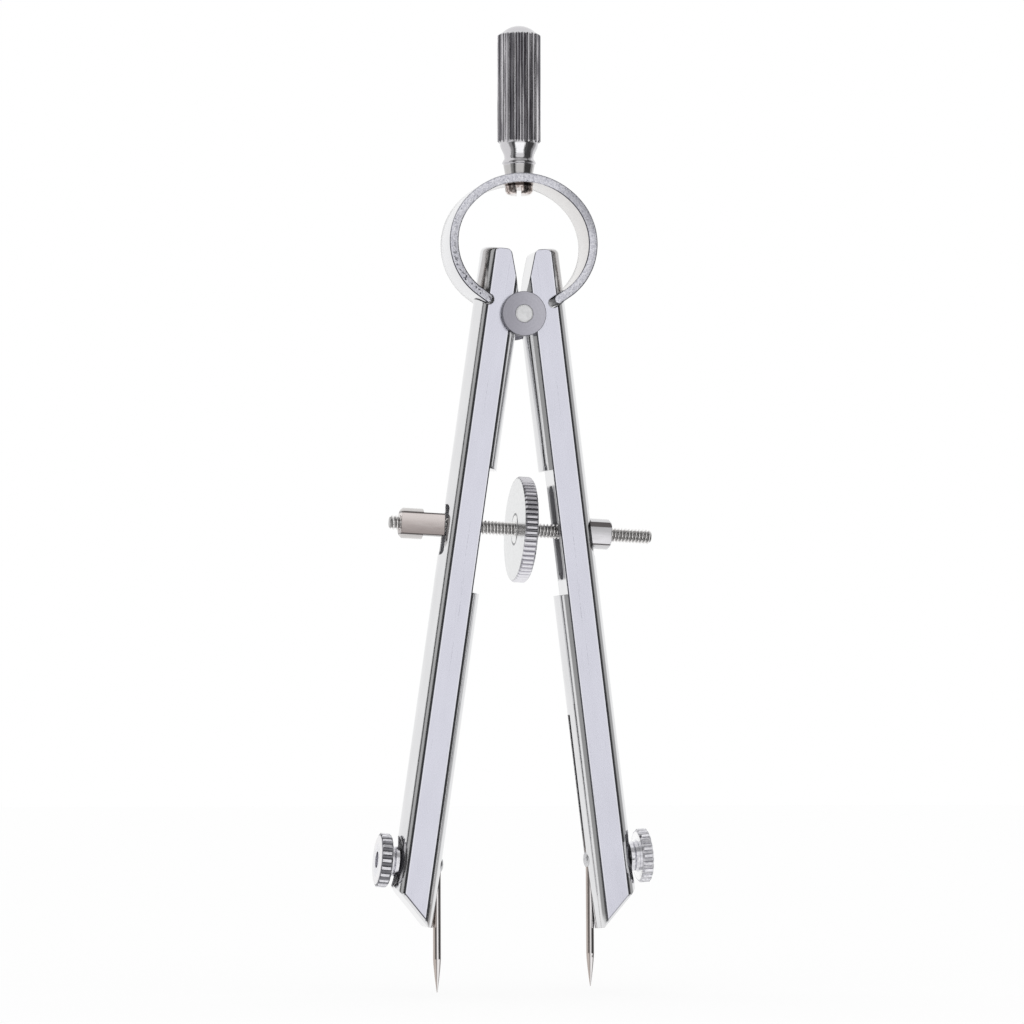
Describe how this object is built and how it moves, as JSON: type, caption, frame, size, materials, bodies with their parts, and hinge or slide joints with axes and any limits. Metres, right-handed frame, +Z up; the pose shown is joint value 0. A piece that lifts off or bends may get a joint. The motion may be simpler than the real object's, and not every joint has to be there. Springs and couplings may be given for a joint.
{
  "type": "spring divider",
  "caption": "Spring divider for marking and stepping off distances: two needle legs on a ring spring, set by a wheel on a screw.",
  "frame": {"origin": "middle of the fluted grip, on its axis", "axes": "+Z up the handle, +X to the right across the legs, front of the tool towards -Y"},
  "size_m": [0.0497, 0.0186, 0.1709],
  "materials": {
    "handle_steel": "bright nickel plate over turned steel",
    "screw_head_steel": "turned steel with a warm tarnish",
    "spring_steel": "plated strip with grainy sheared edges",
    "rivet_steel": "bright riveted end",
    "washer_steel": "satin plate",
    "leg_chrome": "polished round sides and brushed flats",
    "thread_steel": "rolled thread, dull plate",
    "wheel_steel": "turned faces and straight teeth",
    "left_nut_steel": "warm satin nickel",
    "right_nut_steel": "satin nickel",
    "thumb_steel": "turned and fluted",
    "bolt_steel": "dull plate",
    "needle_steel": "ground steel wire"
  },
  "bodies": {
    "head": {"handle": "handle_steel", "handle_screw": "screw_head_steel", "ring_spring": "spring_steel", "pivot_pin": "rivet_steel", "front_washer": "washer_steel", "back_washer": "washer_steel"},
    "left_leg": {"left_leg": "leg_chrome", "left_clamp_bolt": "bolt_steel"},
    "right_leg": {"right_leg": "leg_chrome", "right_clamp_bolt": "bolt_steel"},
    "screw": {"adjusting_screw": "thread_steel", "adjusting_wheel": "wheel_steel"},
    "left_nut": {"left_nut": "left_nut_steel"},
    "right_nut": {"right_nut": "right_nut_steel"},
    "left_thumb": {"left_thumb_nut": "thumb_steel"},
    "right_thumb": {"right_thumb_nut": "thumb_steel"},
    "left_needle": {"left_needle": "needle_steel"},
    "right_needle": {"right_needle": "needle_steel"}
  },
  "joints": [
    {"name": "wheel_turn", "type": "hinge", "parent": "head", "child": "screw", "pos_m": [0.0004, 0, -0.0784], "axis": [-0.999, 0, 0.0454], "range_deg": [-2590, 1860]},
    {"name": "left_leg_swing", "type": "hinge", "parent": "head", "child": "left_leg", "pos_m": [0, 0, -0.0405], "axis": [0, 1, 0], "range_deg": [-6.39, 4.59], "deforming": ["ring_spring"]},
    {"name": "left_nut_slide", "type": "slide", "parent": "head", "child": "left_nut", "axis": [-0.999, 0, 0.0454], "range_m": [-0.00446, 0.0032]},
    {"name": "right_leg_swing", "type": "hinge", "parent": "head", "child": "right_leg", "pos_m": [0, 0, -0.0405], "axis": [0, -1, 0], "range_deg": [-6.39, 4.59]},
    {"name": "right_nut_slide", "type": "slide", "parent": "head", "child": "right_nut", "axis": [0.999, 0, -0.0454], "range_m": [-0.00446, 0.0032]},
    {"name": "left_thumb_turn", "type": "hinge", "parent": "left_leg", "child": "left_thumb", "pos_m": [-0.02434, 0, -0.13656], "axis": [-0.996, 0, 0.0889], "range_deg": [0, 720]},
    {"name": "left_needle_slide", "type": "slide", "parent": "left_leg", "child": "left_needle", "axis": [0.0035, 0, -1], "range_m": [-0.01, 0.004]},
    {"name": "right_thumb_turn", "type": "hinge", "parent": "right_leg", "child": "right_thumb", "pos_m": [0.02236, 0, -0.13591], "axis": [0.9976, 0, 0.0698], "range_deg": [0, 720]},
    {"name": "right_needle_slide", "type": "slide", "parent": "right_leg", "child": "right_needle", "axis": [0.0052, 0, -1], "range_m": [-0.01, 0.004]}
  ],
  "couplings": [
    {"joint": "left_leg_swing", "follows": "wheel_turn", "ratio": 0.0024669},
    {"joint": "left_nut_slide", "follows": "wheel_turn", "m_per_rad": 0.000098676},
    {"joint": "right_leg_swing", "follows": "wheel_turn", "ratio": 0.0024669},
    {"joint": "right_nut_slide", "follows": "wheel_turn", "m_per_rad": 0.000098676}
  ]
}
